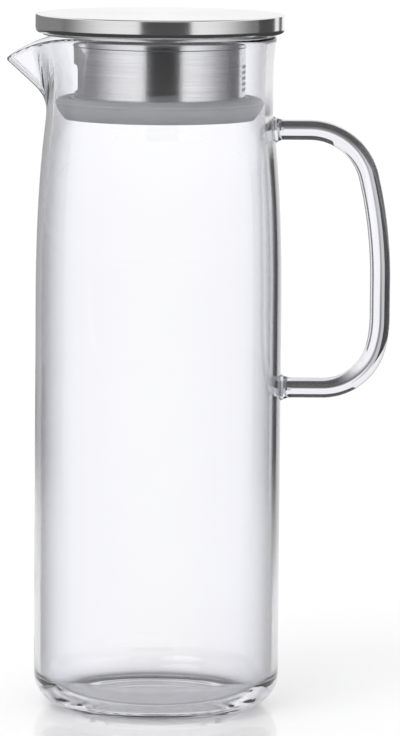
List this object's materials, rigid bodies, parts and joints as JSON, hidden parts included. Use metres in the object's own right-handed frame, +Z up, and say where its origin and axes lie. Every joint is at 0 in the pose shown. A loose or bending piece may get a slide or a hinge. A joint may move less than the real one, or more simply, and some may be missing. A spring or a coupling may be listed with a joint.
{
  "type": "glass pitcher with lid",
  "caption": "Tall glass pitcher with a pulled pouring spout, a welded glass rod handle, and a turning steel lid with a pouring window, strainer holes and a soft seal ring.",
  "frame": {"origin": "centre of the flat ring that the base stands on, on the vessel's axis", "axes": "+Z up along the vessel's axis, spout towards -X, handle towards +X"},
  "size_m": [0.1557, 0.1008, 0.282],
  "materials": {
    "vessel_glass": "clear, polished",
    "handle_glass": "clear, polished",
    "satin_steel": "satin",
    "pan_steel": "satin",
    "brushed_steel": "brushed round the axis",
    "silicone": "matt, slightly translucent"
  },
  "bodies": {
    "vessel": {"glass_body": "vessel_glass", "glass_handle": "handle_glass"},
    "seal": {"seal_ring": "silicone"},
    "lid": {"lid_cap": "satin_steel", "lid_underplate": "pan_steel", "strainer_collar": "brushed_steel"}
  },
  "joints": [
    {"name": "lid_lift", "type": "slide", "parent": "vessel", "child": "seal", "axis": [0, 0, 1], "range_m": [0, 0.06]},
    {"name": "lid_turn", "type": "hinge", "parent": "seal", "child": "lid", "pos_m": [0, 0, 0.2445], "axis": [0, 0, 1], "continuous": true}
  ]
}
